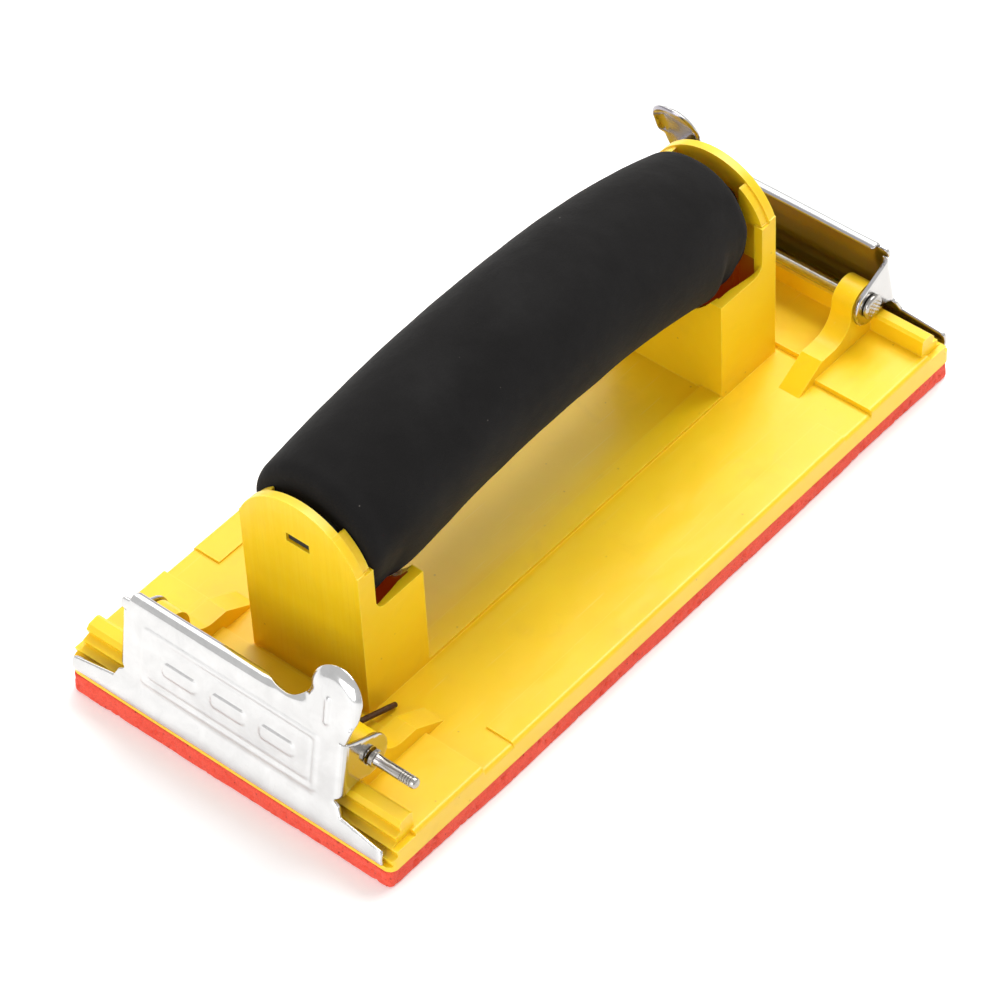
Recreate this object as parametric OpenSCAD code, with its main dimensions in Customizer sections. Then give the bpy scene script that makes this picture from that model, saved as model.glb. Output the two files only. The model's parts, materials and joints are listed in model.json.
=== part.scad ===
// Hand sanding block: a long moulded base on a foam pad, with two hollow
// posts that carry an arched foam covered grip, and at each end a stamped
// steel clamp on a hinge pin that a torsion spring holds shut, to grip the
// ends of a strip of abrasive paper.
//
// X runs along the block, Y across it and Z up. The origin is the middle of
// the working face of the foam pad. The front clamp is at -X. Everything at
// the rear end is the front end turned half a turn about Z.

/* [Base] */
// Length of the base and of the foam pad
block_l = 210; // [206:1:216]
// Width of the base and of the foam pad
block_w = 100; // [99:1:106]
// Thickness of the foam pad with its adhesive film
pad_t = 5.6; // [4:0.2:6]
// Thickness of the adhesive film
glue_t = 0.2; // [0.1:0.05:0.4]
// Height of the floor of the base above the working face
floor_z = 11.2; // [10.8:0.1:11.6]
// Height of the raised end pads of the base
end_z = 12.6; // [12.2:0.1:12.8]
// Radius of the base corners in plan
corner_r = 2.4; // [1:0.2:4]

/* [Grip ridges] */
// Number of teeth on each end ridge
teeth = 4; // [3:1:4]
// Tooth spacing along X
tooth_x = 1.5; // [1.3:0.1:1.6]
// Tooth spacing along Z
tooth_z = 2.4; // [2:0.1:2.4]

/* [Posts] */
// Distance from the middle to the inner wall of a post
post_in = 54.5; // [50:0.5:58]
// Distance from the middle to the outer face of an end flange
post_out = 75.6; // [75:0.1:76]
// Width of a post
post_w = 36; // [34:0.5:38]
// Wall thickness of a post
post_wall = 2.5; // [2:0.1:3]
// Height of the saddle, the open top of a post
saddle_z = 41.8; // [38:0.2:43]
// Height where the round top of a flange starts
arch_z = 56.5; // [55:0.5:58]
// Height of the top of a flange
flange_top = 68.6; // [67:0.2:71]
// Width of the slot in a flange
slot_w = 7; // [5:0.5:8]
// Height of the slot in a flange
slot_h = 2.6; // [2:0.1:3.4]

/* [Grip] */
// Height of the middle of the grip's centre line
grip_mid_z = 61.5; // [60:0.5:63]
// How much lower the centre line is at X = 60
grip_sag = 7.6; // [7:0.2:9]
// Half width of the foam grip
grip_hw = 17.8; // [16:0.2:18]
// Half height of the foam grip
grip_hh = 20; // [18:0.2:20]
// Half length of the foam grip
grip_hl = 70.2; // [68:0.2:70.2]
// Half width of the grip core
core_hw = 8.8; // [7:0.2:9]
// Half height of the grip core
core_hh = 11; // [9:0.2:11]

/* [Clamps and pins] */
// Distance from the middle to a hinge pin
pin_x = 92.4; // [92:0.1:93]
// Height of a hinge pin
pin_z = 23.8; // [23.6:0.1:24.4]
// Radius of a hinge pin
pin_r = 1.45; // [1.3:0.05:1.5]
// Radial clearance between a pin and its holes
pin_fit = 0.05; // [0.02:0.01:0.1]
// Radius of the open ear hole on the tab side
ear_hole_r = 2.35; // [2:0.05:2.6]
// Width of a clamp over its ears
ear_w = 68.4; // [68:0.1:69]
// Thickness of the clamp's sheet steel
sheet_t = 1.1; // [0.9:0.1:1.2]
// Width of the lower jaw of a clamp
jaw_w = 95.6; // [90:0.5:96]
// Radius of an ear's round end
ear_r = 5.5; // [5:0.1:5.9]
// Length of pin that stands out past the tab side ear
pin_out = 13.8; // [8:0.2:15]

/* [Springs] */
// Radius of the spring wire
wire_r = 0.62; // [0.5:0.02:0.7]
// Radius of the coil's centre line
coil_r = 2.5; // [2.3:0.05:2.7]
// Pitch of the coil
coil_p = 1.42; // [1.36:0.02:1.5]
// Full turns in the coil
coil_n = 3; // [2:1:3]

/* [Hidden] */
$fn = 64;

yellow = [0.98, 0.80, 0.06];
red = [0.93, 0.30, 0.24];
off_white = [0.9, 0.9, 0.86];
black = [0.09, 0.09, 0.09];
steel = [0.78, 0.79, 0.80];
dark = [0.16, 0.14, 0.12];

block_hl = block_l / 2;
block_hw = block_w / 2;
post_hw = post_w / 2;
ear_y = ear_w / 2;         // outer face of an ear
bore_r = pin_r + pin_fit;
lug_in = 26.3;             // inner face of a lug
lug_out = 32.5;            // outer face of a lug
ridge_in = block_hl - 9.8; // inner wall of an end ridge
slot_z = 56.9;             // middle of a flange slot

// Centre line of the grip, an arc in X and Z
sag_x = 60;
arc_r = (sag_x * sag_x + grip_sag * grip_sag) / (2 * grip_sag);
arc_z = grip_mid_z - arc_r;
core_hl = 72.5;
// Lowest point of the grip core
core_foot_z = arc_z + sqrt(pow(arc_r - core_hh, 2) - core_hl * core_hl);

// ---- helpers ----

// Extrudes a profile drawn in X and Z, from y0 to y1.
module along_y(y0, y1) {
  translate([0, y1, 0]) rotate([90, 0, 0]) linear_extrude(height = y1 - y0) children();
}

// Extrudes a profile drawn in Y and Z, from x0 to x1.
module along_x(x0, x1) {
  translate([x0, 0, 0]) rotate([90, 0, 90]) linear_extrude(height = x1 - x0) children();
}

function low_y(side, inner, outer) = min(side * inner, side * outer);

// A profile in X and Z, extruded between two distances from the middle on both sides.
module side_slabs(inner, outer) {
  for (side = [-1, 1]) {
    y0 = low_y(side, inner, outer);
    along_y(y0, y0 + outer - inner) children();
  }
}

// A box on both sides, between two distances from the middle.
module side_boxes(inner, outer, x0, length, z0, height) {
  for (side = [-1, 1])
    translate([x0, low_y(side, inner, outer), z0]) cube([length, outer - inner, height]);
}

// Rectangle with round corners, centred.
module round_rect(length, width, radius) {
  square([length - 2 * radius, width], center = true);
  square([length, width - 2 * radius], center = true);
  for (sx = [-1, 1], sy = [-1, 1])
    translate([sx * (length / 2 - radius), sy * (width / 2 - radius)]) circle(radius);
}

// The same shape at both ends, half a turn apart.
module both_ends() {
  children();
  rear() children();
}

module rear() {
  rotate([0, 0, 180]) children();
}

function unit(v) = v / norm(v);
function left(v) = [-v[1], v[0]];

// Normal at a point of a bent strip, lengthened at the bends.
function strip_normal(path, i) =
  let (before = left(unit(i > 0 ? path[i] - path[i - 1] : path[1] - path[0])),
       after = i < len(path) - 1 ? left(unit(path[i + 1] - path[i])) : before,
       middle = unit(before + after))
  middle / (middle * before);

// A sheet bent along a path, seen edge on.
module strip(path, thickness) {
  last = len(path) - 1;
  polygon(concat(
    [for (i = [0 : last]) path[i] + strip_normal(path, i) * thickness / 2],
    [for (i = [last : -1 : 0]) path[i] - strip_normal(path, i) * thickness / 2]));
}

function wire_dir(path, i) = unit(path[min(i + 1, len(path) - 1)] - path[max(i - 1, 0)]);

// A round wire along a path, kept from twisting by the Y direction.
module wire(path, radius, sides = 10) {
  rings = len(path);
  points = [
    for (i = [0 : rings - 1])
      let (dir = wire_dir(path, i), u = unit(cross(dir, [0, 1, 0])), v = cross(dir, u))
      for (k = [0 : sides - 1])
        path[i] + radius * (cos(360 * k / sides) * u + sin(360 * k / sides) * v)];
  walls = [
    for (i = [0 : rings - 2], k = [0 : sides - 1])
      let (a = i * sides + k, b = i * sides + (k + 1) % sides)
      [a, a + sides, b + sides, b]];
  polyhedron(points = points, faces = concat(
    [[for (k = [0 : sides - 1]) k]],
    walls,
    [[for (k = [sides - 1 : -1 : 0]) (rings - 1) * sides + k]]), convexity = 6);
}

// ---- base plate ----

edge_r = 1.2;          // rounding of the plate's upper edges
border_hl = 62;        // half length of the long raised borders
border_y = 41.6;       // their inner edge
border_h = 0.6;        // their height above the floor
end_pad_x = 77.2;      // inner end of the raised end pads
end_pad_side_x = 72.6; // the same, outside the lugs

// Cross section of the base plate up to height z, with rounded upper edges.
module plate_section(z) {
  translate([-block_hw, pad_t]) square([block_w, z - pad_t - edge_r]);
  translate([-block_hw + edge_r, pad_t]) square([block_w - 2 * edge_r, z - pad_t]);
  for (side = [-1, 1]) translate([side * (block_hw - edge_r), z - edge_r]) circle(edge_r, $fn = 48);
}

module raised_borders() {
  intersection() {
    along_x(-border_hl, border_hl) plate_section(floor_z + border_h);
    side_boxes(border_y, block_hw, -border_hl, 2 * border_hl, pad_t, 10);
  }
}

// Raised pad at the front end.
module end_pad() {
  intersection() {
    along_x(-ridge_in - 1, -end_pad_side_x) plate_section(end_z);
    union() {
      side_boxes(lug_out - 1, block_hw, -block_hl, block_hl - end_pad_side_x, pad_t, 10);
      translate([-block_hl, -block_hw, pad_t]) cube([block_hl - end_pad_x, block_w, 10]);
    }
  }
}

// Profile of the toothed ridge at the front end.
module ridge_profile() {
  tip = [-block_hl + 0.7, pad_t + 3.4]; // lowest tooth
  root = [0.55, -1.75];                 // from a tip to the root below it
  polygon(concat(
    [[-ridge_in + 0.6, pad_t], [-block_hl, pad_t], [-block_hl, pad_t + 1.5]],
    [for (i = [0 : teeth - 1], from_tip = [root, [0, 0]])
      tip + [i * tooth_x, i * tooth_z] + from_tip],
    [[-ridge_in - 3.6, 17.3], [-ridge_in - 0.9, 17.75], [-ridge_in, 17.2]]));
}

// Lower part of the ridge, over the full width of the base.
module ridge_foot() {
  along_y(-block_hw, block_hw) intersection() {
    ridge_profile();
    translate([-block_hl, 0]) square([20, end_z - 1.2]);
  }
}

// The whole ridge, set in from the sides of the base.
module ridge() {
  inset = 1.6;
  along_y(-block_hw + inset, block_hw - inset) intersection() {
    ridge_profile();
    translate([-block_hl, pad_t + 1]) square([30, 30]);
  }
}

// Plate, borders, end pads and ridge feet, cut to the rounded plan.
module plate() {
  intersection() {
    union() {
      along_x(-ridge_in - 1, ridge_in + 1) plate_section(floor_z);
      raised_borders();
      both_ends() {
        end_pad();
        ridge_foot();
      }
    }
    translate([0, 0, pad_t]) linear_extrude(height = 30) round_rect(block_l, block_w, corner_r);
  }
}

// ---- hinge lugs ----

// Profile of a hinge lug and of the web that runs inboard from it.
module lug_profile() {
  head_r = 5.2;
  hollow_r = 7.1;
  web_x = 12.4 - pin_x;      // inboard end of the hollow
  web_end_x = 26.6 - pin_x;
  foot_z = pad_t + 4;
  hollow_z = pin_z - 0.2;
  difference() {
    polygon([[-pin_x - 4.95, pin_z - 1.6], [-pin_x - 4.4, foot_z], [web_end_x, foot_z],
             [web_end_x, floor_z - 0.2], [web_x + 4.5, 16.5], [web_x, 16.5],
             [web_x, hollow_z], [-pin_x + 5.1, hollow_z], [-pin_x, pin_z]]);
    translate([web_x - 0.1, hollow_z]) circle(hollow_r);
  }
  translate([-pin_x, pin_z]) circle(head_r);
}

// Pin bores through the front lugs.
module lug_bores() {
  for (side = [-1, 1]) translate([-pin_x, side * (lug_in + lug_out) / 2, pin_z])
    rotate([90, 0, 0]) cylinder(r = bore_r, h = 10, center = true);
}

// ---- posts ----

arch_hw = post_hw - 0.3; // half width of a flange's round top
arch_rise = flange_top - arch_z;
arch_r = (arch_hw * arch_hw + arch_rise * arch_rise) / (2 * arch_rise);
flange_x = -post_out;    // outer face of the front flange
grip_gap = 0.5;          // between the foam grip and its hollow in a post

module flange_outline(inset = 0) {
  intersection() {
    translate([0, flange_top - arch_r]) circle(arch_r - inset, $fn = 128);
    translate([-arch_hw + inset, saddle_z - 4]) square([2 * (arch_hw - inset), 40]);
  }
  translate([-post_hw + inset, floor_z - 2])
    square([post_w - 2 * inset, arch_z - floor_z + 2 - inset]);
}

// End flange, a thin sheet with a thicker border at its sides.
module flange() {
  border_in = 10.4;
  border_top = 64.6;
  root_z = saddle_z - 2;
  along_x(flange_x, flange_x + 2.3) flange_outline();
  intersection() {
    along_x(flange_x + 2, flange_x + 4.6) flange_outline(0.5);
    side_boxes(border_in, post_hw, flange_x, 5, root_z, border_top - root_z);
  }
  // shoulders below the round top, thicker again
  side_boxes(post_hw - post_wall, post_hw, flange_x + 2, 3.2, root_z, arch_z - saddle_z + 1.2);
}

// Fillets between the saddle and the shoulders.
module saddle_fillets() {
  fillet_r = 3.2;
  width = 4.4;
  x0 = flange_x + 4;
  side_slabs(post_hw - post_wall, post_hw) difference() {
    translate([x0, saddle_z - 1]) square([width, fillet_r + 1]);
    translate([x0 + width, saddle_z + fillet_r]) circle(fillet_r, $fn = 48);
  }
}

// One hollow post with its end flange, at the front end.
module post() {
  depth = post_out - post_in;
  outer_wall = 2.6;
  inner_wall = 2.2;
  difference() {
    union() {
      translate([flange_x, -post_hw, floor_z - 1]) cube([depth, post_w, saddle_z - floor_z + 1]);
      flange();
      saddle_fillets();
    }
    // inside of the box
    translate([flange_x + outer_wall, -post_hw + post_wall, floor_z + 2])
      cube([depth - outer_wall - inner_wall, post_w - 2 * post_wall, saddle_z]);
    // hollow for the grip in the inner wall
    grip_tube(grip_hw + grip_gap, grip_hh + grip_gap, grip_hl + 0.15);
    // slot for the grip core's tab
    translate([flange_x - 1, -slot_w / 2, slot_z - slot_h / 2]) cube([5, slot_w, slot_h]);
  }
  // rib inside the post that carries the end of the grip core
  translate([flange_x + 2, -core_hw, floor_z])
    cube([2.9, 2 * core_hw, core_foot_z - 0.15 - floor_z]);
}

// Two low ribs that join the posts.
module joining_ribs() {
  rib_w = 6.4;
  side_boxes(post_hw - rib_w, post_hw, -post_in - 1, 2 * post_in + 2, floor_z - 1, 2);
}

module base() color(yellow) {
  difference() {
    union() {
      plate();
      both_ends() {
        ridge();
        side_slabs(lug_in, lug_out) lug_profile();
        post();
      }
      joining_ribs();
    }
    both_ends() lug_bores();
  }
}

// ---- foam pad and its adhesive ----

module foam_pad() color(red)
  linear_extrude(height = pad_t - glue_t) round_rect(block_l, block_w, corner_r);

module pad_adhesive() color(off_white)
  translate([0, 0, pad_t - glue_t]) linear_extrude(height = glue_t)
    round_rect(block_l - 1, block_w - 1, corner_r);

// ---- grip ----

// Sweeps a section along the grip's arc and cuts it square at a half length.
// The section's X points up and its Y across the block.
module arched(half_length) {
  half_angle = asin((half_length + 8) / arc_r);
  intersection() {
    translate([0, 0, arc_z]) rotate([90, 0, 0]) rotate([0, 0, 90 - half_angle])
      rotate_extrude(angle = 2 * half_angle, $fn = 360) translate([arc_r, 0]) children();
    translate([-half_length, -40, -20]) cube([2 * half_length, 80, 140]);
  }
}

function oval_term(value) = sign(value) * pow(abs(value), 0.93);

// An arched bar of oval section, slightly fuller than an ellipse.
module grip_tube(half_w, half_h, half_length) {
  sides = 48;
  arched(half_length) polygon([
    for (i = [0 : sides - 1]) let (angle = 360 * i / sides)
      [half_h * oval_term(cos(angle)), half_w * oval_term(sin(angle))]]);
}

module core_bar(half_w, half_h, half_length) {
  arched(half_length) round_rect(2 * half_h, 2 * half_w, 4);
}

module grip_core() color(black) {
  tab_x = 73.3; // middle of a tab
  tab_l = 3.4;
  tab_gap = 0.3;
  core_bar(core_hw, core_hh, core_hl);
  // snap tabs that enter the flange slots
  for (side = [-1, 1])
    translate([side * tab_x - tab_l / 2, -slot_w / 2 + tab_gap, slot_z - slot_h / 2 + tab_gap])
      cube([tab_l, slot_w - 2 * tab_gap, slot_h - 2 * tab_gap]);
}

module grip_foam() color(black) {
  core_gap = 0.05;
  difference() {
    grip_tube(grip_hw, grip_hh, grip_hl);
    core_bar(core_hw + core_gap, core_hh + core_gap, grip_hl + 4);
  }
}

// ---- clamps ----

// Middle lines of the front clamp's sheet, as [x, z] points.
// The straight plate runs from the last hem point to the first jaw point.
hem = [[-96.7, 37.2], [-97.7, 37.9], [-98.8, 37.8], [-99.5, 37.0]];
jaw = [[-103.5, 16.2], [-104.95, 12.7], [-105.6, 10.7], [-105.8, 9.3], [-105.4, 8.35],
       [-104.6, 7.97]];
thumb = [[-95.4, 52.6], [-96.6, 49.6], [-97.8, 45.6], [-98.6, 41.8], [-99.65, 36.3],
         [-100.1, 33.9]];

plate_run = hem[3] - jaw[0];
lean = atan2(plate_run[0], plate_run[1]); // of the plate, from upright
tab_z = 34;                               // where the tab takes over from the plate

// Front view of the clamp's sheet, drawn in Y and Z.
module clamp_outline() {
  jaw_y = jaw_w / 2;
  difference() {
    translate([-ear_y, 7]) square([ear_w, 32]);
    // the hem stops short of the corner away from the tab
    translate([ear_y - 3, 36.2]) square([4, 4]);
  }
  polygon([[-jaw_y, 5], [-jaw_y, 12.2], [-ear_y, 14], [ear_y, 14], [jaw_y, 12.2], [jaw_y, 5]]);
}

// Front view of the thumb tab, drawn in Y and Z.
module tab_outline() {
  side_y = -15.9;
  difference() {
    polygon([[-ear_y, tab_z], [-36.5, 44], [-22.6, 44], [side_y, 38.4], [side_y, tab_z]]);
    translate([-15.6, 45.2]) circle(7);
  }
  translate([-29.5, 45.1]) circle(7.1);
}

module ear_profile(hole_r) {
  difference() {
    union() {
      translate([-pin_x, pin_z]) circle(ear_r);
      polygon([[-99.9, 33.6], [-97.6, 32.3],
               [1.9 - pin_x, pin_z + sqrt(ear_r * ear_r - 3.8)],
               [-pin_x, pin_z], [0.8 - pin_x, pin_z - ear_r + 0.1],
               [-95.5, 18.7], [-102.7, 19.5]]);
    }
    translate([-pin_x, pin_z]) circle(hole_r);
  }
}

// Extrudes a front view through the depth of the clamp.
module front_view() {
  along_x(-115, -90) children();
}

// Raised plain panel on the plate.
module panel() {
  size = [0.6, 54, 14.8];
  translate([-101.5, 0, 26.3]) rotate([0, lean, 0])
    translate([-sheet_t / 2 - size[0] / 2, -size[1] / 2, -12]) cube(size);
}

// Short bead in the tab.
module bead() {
  bead_r = 0.6;
  bead_l = 7;
  translate([-99.25, -28.8, 38]) rotate([0, lean + 1.5, 0]) translate([-sheet_t / 2, 0, 0]) {
    cylinder(r = bead_r, h = bead_l);
    for (z = [0, bead_l]) translate([0, 0, z]) sphere(bead_r);
  }
}

module clamp() {
  // plate with its hem and jaw
  intersection() {
    along_y(-60, 60) strip(concat(hem, jaw), sheet_t);
    front_view() difference() {
      clamp_outline();
      translate([-40, tab_z]) square([24, 30]);
    }
  }
  // thumb tab at the -Y end, and the plate just below it
  intersection() {
    along_y(-60, 60) strip(thumb, sheet_t);
    front_view() tab_outline();
  }
  // ears: the open hole is on the tab side
  along_y(-ear_y, -ear_y + sheet_t) ear_profile(ear_hole_r);
  along_y(ear_y - sheet_t, ear_y) ear_profile(bore_r);
  panel();
  bead();
}

module front_clamp() color(steel) clamp();
module rear_clamp() color(steel) rear() clamp();

// ---- pins ----

module pin() {
  tip_l = 0.5; // tapered tip
  head_r = 3.3;
  translate([-pin_x, -ear_y - pin_out + tip_l, pin_z]) rotate([-90, 0, 0]) {
    cylinder(r = pin_r, h = ear_w + pin_out - 0.3);
    translate([0, 0, -tip_l]) cylinder(r1 = pin_r - 0.4, r2 = pin_r, h = tip_l + 0.01);
    // collar outside the tab side ear
    translate([0, 0, pin_out - 2.3]) cylinder(r = 2.2, h = 1.2);
    // rivet head outside the other ear
    translate([0, 0, ear_w + pin_out - 0.35]) {
      cylinder(r = head_r, h = 1);
      translate([0, 0, 0.99]) cylinder(r1 = head_r, r2 = 2.5, h = 0.6);
    }
  }
}

module front_pin() color(steel) pin();
module rear_pin() color(steel) rear() pin();

// ---- torsion springs ----

// Angles where the two legs leave the coil, seen along Y, and
// distances of the leg points from the coil.
plate_leg_angle = 201;
base_leg_angle = 245.6;
plate_leg = [10.2, 6, 2];
base_leg = [2, 10, 18, 23];

function on_coil(angle, y) = [-pin_x + coil_r * cos(angle), y, pin_z + coil_r * sin(angle)];
function tangent(angle) = [-sin(angle), 0, cos(angle)];

function spring_path() =
  let (turn = 360 * coil_n + base_leg_angle - plate_leg_angle,
       steps = 24 * coil_n + 4,
       y0 = -lug_in + wire_r + 0.15,
       travel = coil_p * turn / 360,
       start = on_coil(plate_leg_angle, y0),
       end = on_coil(base_leg_angle, y0 + travel))
  concat(
    [for (t = plate_leg) start - t * tangent(plate_leg_angle)],
    [for (i = [0 : steps])
      on_coil(plate_leg_angle + turn * i / steps, y0 + travel * i / steps)],
    [for (t = base_leg) end + t * tangent(base_leg_angle)]);

module spring() wire(spring_path(), wire_r);

module front_spring() color(dark) spring();
module rear_spring() color(dark) rear() spring();

base();
foam_pad();
pad_adhesive();
grip_core();
grip_foam();
front_clamp();
rear_clamp();
front_pin();
rear_pin();
front_spring();
rear_spring();
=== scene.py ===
"""Looks of a sanding block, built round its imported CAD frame.

A red foam pad lies on the floor under a yellow moulding, whose two posts carry a black foam grip.
A sprung sheet-metal clamp hangs on a pin at each end. The block lies along X, centred on the
origin, +Z up, with the front clamp at -X; the rear end's parts are the front's turned half a turn.
Meshes are worked out in millimetres and become metres in make(). Shader coordinates are in
millimetres too. Modifiers, bump distances, lights and the camera are in metres.
"""

import json
import math

import bmesh
import bpy
import numpy as np
from mathutils import Matrix, Vector, noise
from mathutils.geometry import delaunay_2d_cdt


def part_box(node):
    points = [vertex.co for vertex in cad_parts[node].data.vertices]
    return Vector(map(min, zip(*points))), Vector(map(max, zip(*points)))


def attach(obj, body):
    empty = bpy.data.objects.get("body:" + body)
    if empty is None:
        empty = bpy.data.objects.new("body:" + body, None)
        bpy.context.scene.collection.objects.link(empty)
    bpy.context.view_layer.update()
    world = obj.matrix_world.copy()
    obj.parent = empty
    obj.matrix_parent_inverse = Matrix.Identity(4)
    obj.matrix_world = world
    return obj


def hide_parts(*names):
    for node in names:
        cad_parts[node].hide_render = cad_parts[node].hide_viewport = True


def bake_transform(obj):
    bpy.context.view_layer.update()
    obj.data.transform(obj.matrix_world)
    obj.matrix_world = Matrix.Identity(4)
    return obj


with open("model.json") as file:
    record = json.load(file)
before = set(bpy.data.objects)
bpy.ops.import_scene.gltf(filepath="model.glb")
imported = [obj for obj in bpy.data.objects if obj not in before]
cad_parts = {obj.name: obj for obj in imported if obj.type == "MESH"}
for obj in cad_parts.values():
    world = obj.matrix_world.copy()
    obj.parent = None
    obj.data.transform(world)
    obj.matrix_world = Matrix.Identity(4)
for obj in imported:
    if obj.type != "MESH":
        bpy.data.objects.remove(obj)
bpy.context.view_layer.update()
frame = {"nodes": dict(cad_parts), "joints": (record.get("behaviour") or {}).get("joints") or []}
nodes = frame["nodes"]
rng = np.random.default_rng(11)
MM = 0.001


def upper_corner(name):
    """The corner of a CAD part's box with the largest X, Y and Z, in millimetres."""
    return np.array(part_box(name)[1]) / MM


PAD_HALF_L, PAD_HALF_W, PAD_H = upper_corner("foam_pad")
GRIP_HALF_L, GRIP_HALF_W, GRIP_TOP = upper_corner("grip_foam")
HINGE = np.array(frame["joints"][0]["pos_m"]) / MM
PIN_X, PIN_Z = abs(HINGE[0]), HINGE[2]

# ------------------------------------------------------------------ material builder


class Mat:
    """A small builder for node materials. Its methods take and return node sockets."""

    def __init__(self, name):
        self.material = bpy.data.materials.new(name)
        self.material.use_nodes = True
        self.tree = self.material.node_tree
        self.tree.nodes.clear()
        output = self.tree.nodes.new("ShaderNodeOutputMaterial")
        self.shader = self.tree.nodes.new("ShaderNodeBsdfPrincipled")
        self.tree.links.new(self.shader.outputs[0], output.inputs[0])
        metres = self.node("ShaderNodeTexCoord", out="Object")
        self.point = self.stretched(1 / MM, 1 / MM, 1 / MM, metres)  # in millimetres

    def put(self, socket, value):
        if isinstance(value, bpy.types.NodeSocket):
            self.tree.links.new(value, socket)
        else:
            socket.default_value = value

    def surface(self, **values):
        """Sets inputs of the shader, with _ for a space, and returns the material."""
        for name, value in values.items():
            self.put(self.shader.inputs[name.replace("_", " ")], value)
        return self.material

    def node(self, kind, *values, out=0, props=None, **named):
        """A node's output; values fill its first inputs in order, named ones go by name."""
        node = self.tree.nodes.new(kind)
        for name, value in (props or {}).items():
            setattr(node, name, value)
        for key, value in [*enumerate(values), *named.items()]:
            self.put(node.inputs[key], value)
        return node.outputs[out]

    def math(self, operation, a, b=0.0, clamp=False):
        props = {"operation": operation, "use_clamp": clamp}
        return self.node("ShaderNodeMath", a, b, 0.0, props=props)

    def times(self, first, *others):
        for other in others:
            first = self.math("MULTIPLY", first, other)
        return first

    def raised(self, start, mask, amount):
        """start + mask * amount"""
        return self.math("ADD", start, self.times(mask, amount))

    def inverse(self, a):
        return self.math("SUBTRACT", 1.0, a)

    def above(self, a, limit):
        return self.math("GREATER_THAN", a, limit)

    def below(self, a, limit):
        return self.math("LESS_THAN", a, limit)

    def between(self, a, low, high):
        return self.times(self.above(a, low), self.below(a, high))

    def split(self, vector):
        """The X, Y and Z of a vector."""
        return tuple(self.node("ShaderNodeSeparateXYZ", vector).node.outputs)

    def stretched(self, x, y, z, point=None):
        """Coordinates scaled by axis; a small scale draws a texture out along that axis."""
        return self.node("ShaderNodeMapping", Vector=point or self.point, Scale=(x, y, z))

    def noise(self, scale=1.0, detail=2.0, rough=0.5, point=None, distortion=0.0):
        return self.node("ShaderNodeTexNoise", Vector=point or self.point, Scale=scale,
                         Detail=detail, Roughness=rough, Distortion=distortion)

    def cells(self, scale):
        """Distance to the nearest of some scattered points."""
        return self.node("ShaderNodeTexVoronoi", Vector=self.point, Scale=scale, Randomness=1.0)

    def ramp(self, factor, start, end, low=0.0, high=1.0):
        """Grey that goes from low at start to high at end."""
        color = self.node("ShaderNodeValToRGB", factor)
        stops = color.node.color_ramp.elements
        for stop, place, grey in zip(stops, (start, end), (low, high)):
            stop.position = place
            stop.color = (grey, grey, grey, 1)
        return color

    def mix(self, factor, a, b):
        color = self.node("ShaderNodeMix", factor, out=2, props={"data_type": "RGBA"})
        for index, value in ((6, a), (7, b)):
            value = (*value, 1) if isinstance(value, tuple) else value
            self.put(color.node.inputs[index], value)
        return color

    def tint(self, color, mask, amount, to):
        """color, moved by amount towards another one where the mask is 1."""
        return self.mix(self.times(mask, amount), color, to)

    def bumps(self, *layers):
        """A normal from layers of (height, strength, distance in metres), each on the last."""
        normal = {}
        for height, strength, distance in layers:
            normal = {"Normal": self.node("ShaderNodeBump", Height=height, Strength=strength,
                                          Distance=distance, **normal)}
        return normal["Normal"]

    def edge(self, radius, power):
        """1 on sharp edges and 0 elsewhere, from the bevelled normal."""
        normal = self.node("ShaderNodeNewGeometry", out="Normal")
        bevelled = self.node("ShaderNodeBevel", props={"samples": 4}, Radius=radius)
        match = self.node("ShaderNodeVectorMath", normal, bevelled, out=1,
                          props={"operation": "DOT_PRODUCT"})
        return self.math("MULTIPLY", self.inverse(match), power, clamp=True)


# ------------------------------------------------------------------ materials


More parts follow.
